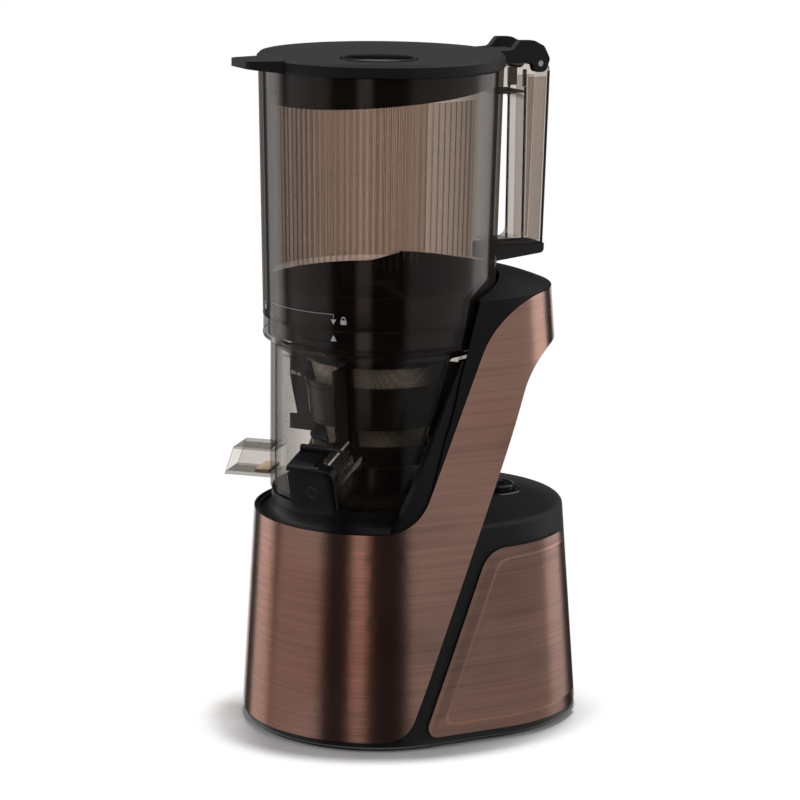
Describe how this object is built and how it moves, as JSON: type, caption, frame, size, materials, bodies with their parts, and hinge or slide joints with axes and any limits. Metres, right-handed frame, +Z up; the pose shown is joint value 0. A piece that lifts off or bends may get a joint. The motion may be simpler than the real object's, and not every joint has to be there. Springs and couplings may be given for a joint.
{
  "type": "cold press juicer",
  "caption": "Tall cold press juicer: leaning copper-brown body with a smoke-clear drum, strainer and screw, large lidded feed hopper with handle, hinged juice cap, residue spout and power dial.",
  "frame": {"origin": "centre of the bounding box on the table plane; the drive axis stands 22.3 mm in front of it", "axes": "+Z up, -Y front where the juice outlet, residue spout and lid tab are, +X to the right seen from the front"},
  "size_m": [0.183, 0.2486, 0.4557],
  "materials": {
    "copper_skin": "brushed copper-brown metallic",
    "rear_copper": "brushed copper-brown metallic",
    "black_satin": "satin black",
    "soft_black": "soft-touch black",
    "gloss_black": "semi-gloss black",
    "smoke_clear": "transparent smoke brown",
    "rubber_black": "black rubber",
    "silicone_grey": "grey silicone",
    "silicone_dark": "dark silicone",
    "steel": "turned steel",
    "steel_can": "plated steel",
    "mesh_steel": "perforated steel",
    "nylon_white": "natural nylon",
    "winding": "laminated core with enamelled windings",
    "board_green": "circuit board",
    "dial_metal": "dark polished metal",
    "auger_black": "black resin"
  },
  "bodies": {
    "base": {"copper_front_cover": "copper_skin", "rear_panel_right": "rear_copper", "rear_panel_left": "rear_copper", "column_frame": "black_satin", "column_back_cover": "black_satin", "head_cap": "soft_black", "rear_housing": "soft_black", "base_pan": "black_satin", "rubber_feet": "rubber_black", "base_screws": "steel", "cable_gland": "rubber_black", "dial_bezel": "dial_metal", "rotary_switch": "gloss_black", "gearbox_case": "nylon_white", "gearbox_cover": "nylon_white", "shaft_bearings": "steel", "motor_housing": "steel_can", "motor_stator": "winding", "idler_shaft": "steel", "shaft_seal": "silicone_dark", "control_board": "board_green"},
    "rotor": {"motor_rotor": "steel", "cooling_fan": "black_satin"},
    "idler": {"idler_gear": "nylon_white"},
    "drive": {"output_gear": "nylon_white", "drive_shaft": "steel"},
    "dial": {"power_dial": "gloss_black"},
    "bowl": {"juice_drum": "smoke_clear", "drum_packing": "silicone_grey", "residue_plug": "silicone_dark", "strainer_frame": "auger_black", "strainer_mesh": "mesh_steel", "cap_pin": "steel"},
    "juice_cap": {"juice_cap": "gloss_black", "cap_seal": "silicone_grey"},
    "brush": {"brush_frame": "auger_black", "brush_wipers": "silicone_dark"},
    "brush_gear": {"brush_gear": "auger_black"},
    "auger": {"auger": "auger_black", "cutting_wing": "auger_black"},
    "hopper": {"hopper": "smoke_clear", "hopper_ring": "gloss_black", "handle_insert": "gloss_black"},
    "lid": {"lid": "black_satin", "hinge_pin": "steel"}
  },
  "joints": [
    {"name": "drive_spin", "type": "hinge", "parent": "base", "child": "drive", "pos_m": [0, -0.02232, 0.117], "axis": [0, 0, 1], "continuous": true},
    {"name": "idler_spin", "type": "hinge", "parent": "base", "child": "idler", "pos_m": [0, 0.03168, 0.11], "axis": [0, 0, 1], "continuous": true},
    {"name": "rotor_spin", "type": "hinge", "parent": "base", "child": "rotor", "pos_m": [0, 0.07368, 0.06], "axis": [0, 0, 1], "continuous": true},
    {"name": "dial_turn", "type": "hinge", "parent": "base", "child": "dial", "pos_m": [0, 0.06868, 0.146], "axis": [0, 0, 1], "range_deg": [-40, 40]},
    {"name": "bowl_lift", "type": "slide", "parent": "base", "child": "bowl", "axis": [0, 0, 1], "range_m": [0, 0.06]},
    {"name": "juice_cap_hinge", "type": "hinge", "parent": "bowl", "child": "juice_cap", "pos_m": [0.05, -0.08631, 0.20052], "axis": [-0.788, -0.6157, 0], "range_deg": [0, 90]},
    {"name": "auger_spin", "type": "hinge", "parent": "bowl", "child": "auger", "pos_m": [0, -0.02232, 0.22], "axis": [0, 0, 1], "continuous": true},
    {"name": "brush_gear_spin", "type": "hinge", "parent": "bowl", "child": "brush_gear", "pos_m": [0, 0.00168, 0.165], "axis": [0, 0, 1], "continuous": true},
    {"name": "brush_spin", "type": "hinge", "parent": "bowl", "child": "brush", "pos_m": [0, -0.02232, 0.2], "axis": [0, 0, 1], "continuous": true},
    {"name": "hopper_twist", "type": "hinge", "parent": "bowl", "child": "hopper", "pos_m": [0, -0.02232, 0.29], "axis": [0, 0, 1], "range_deg": [0, 50]},
    {"name": "lid_hinge", "type": "hinge", "parent": "hopper", "child": "lid", "pos_m": [0, 0.08768, 0.44], "axis": [-1, 0, 0], "range_deg": [0, 95]}
  ],
  "couplings": [
    {"joint": "idler_spin", "follows": "drive_spin", "ratio": -4},
    {"joint": "rotor_spin", "follows": "drive_spin", "ratio": 20},
    {"joint": "auger_spin", "follows": "drive_spin", "ratio": 1},
    {"joint": "brush_gear_spin", "follows": "drive_spin", "ratio": -2.2},
    {"joint": "brush_spin", "follows": "drive_spin", "ratio": -0.52381}
  ]
}
